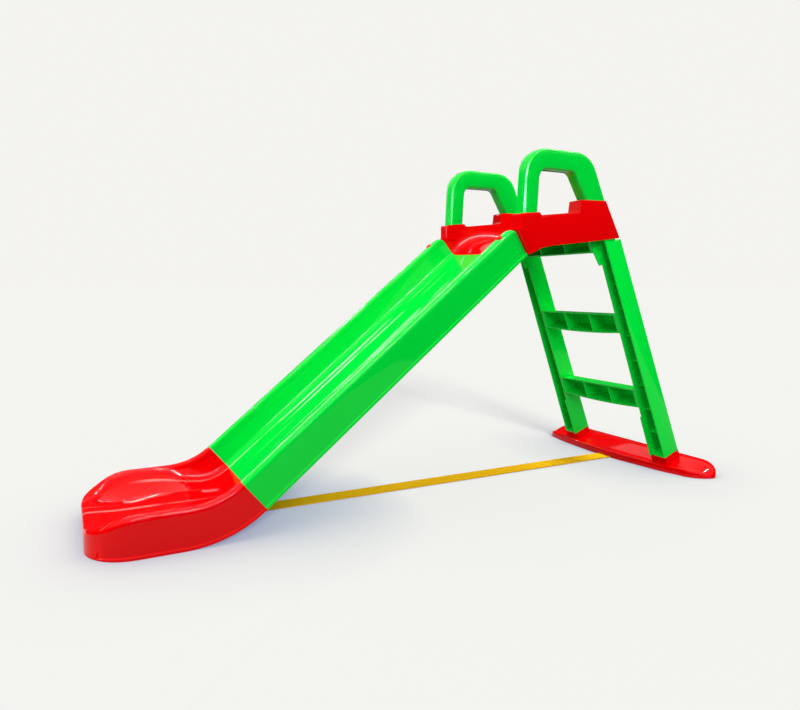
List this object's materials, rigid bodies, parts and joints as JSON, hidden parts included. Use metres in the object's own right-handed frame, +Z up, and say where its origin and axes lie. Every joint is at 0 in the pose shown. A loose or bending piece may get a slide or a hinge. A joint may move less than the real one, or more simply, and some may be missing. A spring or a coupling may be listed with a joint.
{
  "type": "kids slide",
  "caption": "Free-standing moulded slide with a trough chute and curved run-out, a platform with grab handles and a leaning ladder on a wide foot bar.",
  "frame": {"origin": "on the floor, under the middle of the whole slide's bounding box", "axes": "+X along the slide from the run-out towards the ladder, +Y across it, +Z up"},
  "size_m": [1.458, 0.5888, 0.787],
  "materials": {
    "green_plastic": "glossy moulded polyethylene",
    "red_plastic": "glossy moulded polyethylene",
    "gold_webbing": "flat woven webbing",
    "zinc_steel": "zinc plated"
  },
  "bodies": {
    "root": {"chute_upper": "green_plastic", "chute_lower": "red_plastic", "platform": "red_plastic", "handle_left": "green_plastic", "handle_right": "green_plastic", "ladder": "green_plastic", "foot_bar": "red_plastic", "floor_tie": "gold_webbing", "chute_pin_left": "red_plastic", "chute_pin_right": "red_plastic", "joint_screw_left_upper": "zinc_steel", "joint_screw_left_lower": "zinc_steel", "joint_screw_right_upper": "zinc_steel", "joint_screw_right_lower": "zinc_steel", "handle_screw_left_front": "zinc_steel", "handle_screw_left_rear": "zinc_steel", "handle_screw_right_front": "zinc_steel", "handle_screw_right_rear": "zinc_steel", "ladder_screw_left": "zinc_steel", "ladder_screw_right": "zinc_steel", "foot_screw_left": "zinc_steel", "foot_screw_right": "zinc_steel", "tie_screw_front": "zinc_steel", "tie_screw_rear": "zinc_steel"}
  },
  "joints": []
}
